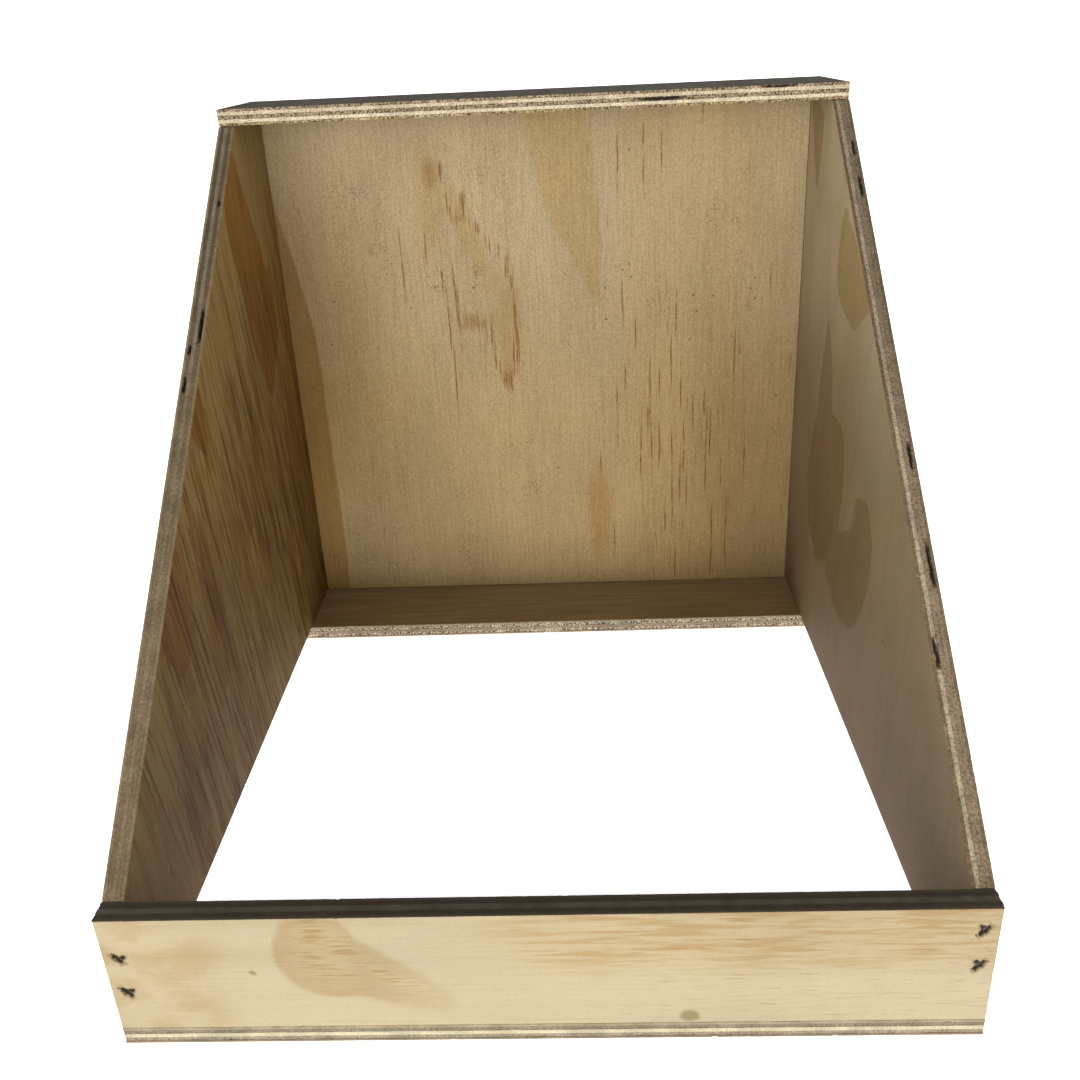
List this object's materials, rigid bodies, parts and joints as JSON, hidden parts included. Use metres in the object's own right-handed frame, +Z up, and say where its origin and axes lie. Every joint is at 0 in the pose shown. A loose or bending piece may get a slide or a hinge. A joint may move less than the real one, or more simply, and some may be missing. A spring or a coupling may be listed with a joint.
{
  "type": "nesting box",
  "caption": "Open plywood nesting box with a back panel, sloped sides, a front lip and narrow top and bottom boards, stapled together.",
  "frame": {"origin": "middle of the box's footprint, on the surface that it stands on", "axes": "+Z up, -Y towards the lip at the front, +X to the right as seen from the front"},
  "size_m": [0.35, 0.35, 0.35],
  "materials": {
    "back_ply": "bare sanded plywood, face grain upright",
    "side_ply": "bare sanded plywood, face grain steep",
    "strip_ply": "bare plywood with rough sawn edges",
    "lip_ply": "bare pale plywood, face grain level",
    "staple_wire": "dull galvanised wire"
  },
  "bodies": {
    "root": {"back_panel": "back_ply", "left_side": "side_ply", "right_side": "side_ply", "top_board": "strip_ply", "rear_bottom_board": "strip_ply", "front_bottom_board": "strip_ply", "front_lip": "lip_ply", "lip_staples": "staple_wire", "top_board_staples": "staple_wire", "rear_board_staples": "staple_wire", "front_board_staples": "staple_wire", "left_side_staples": "staple_wire", "right_side_staples": "staple_wire"}
  },
  "joints": []
}
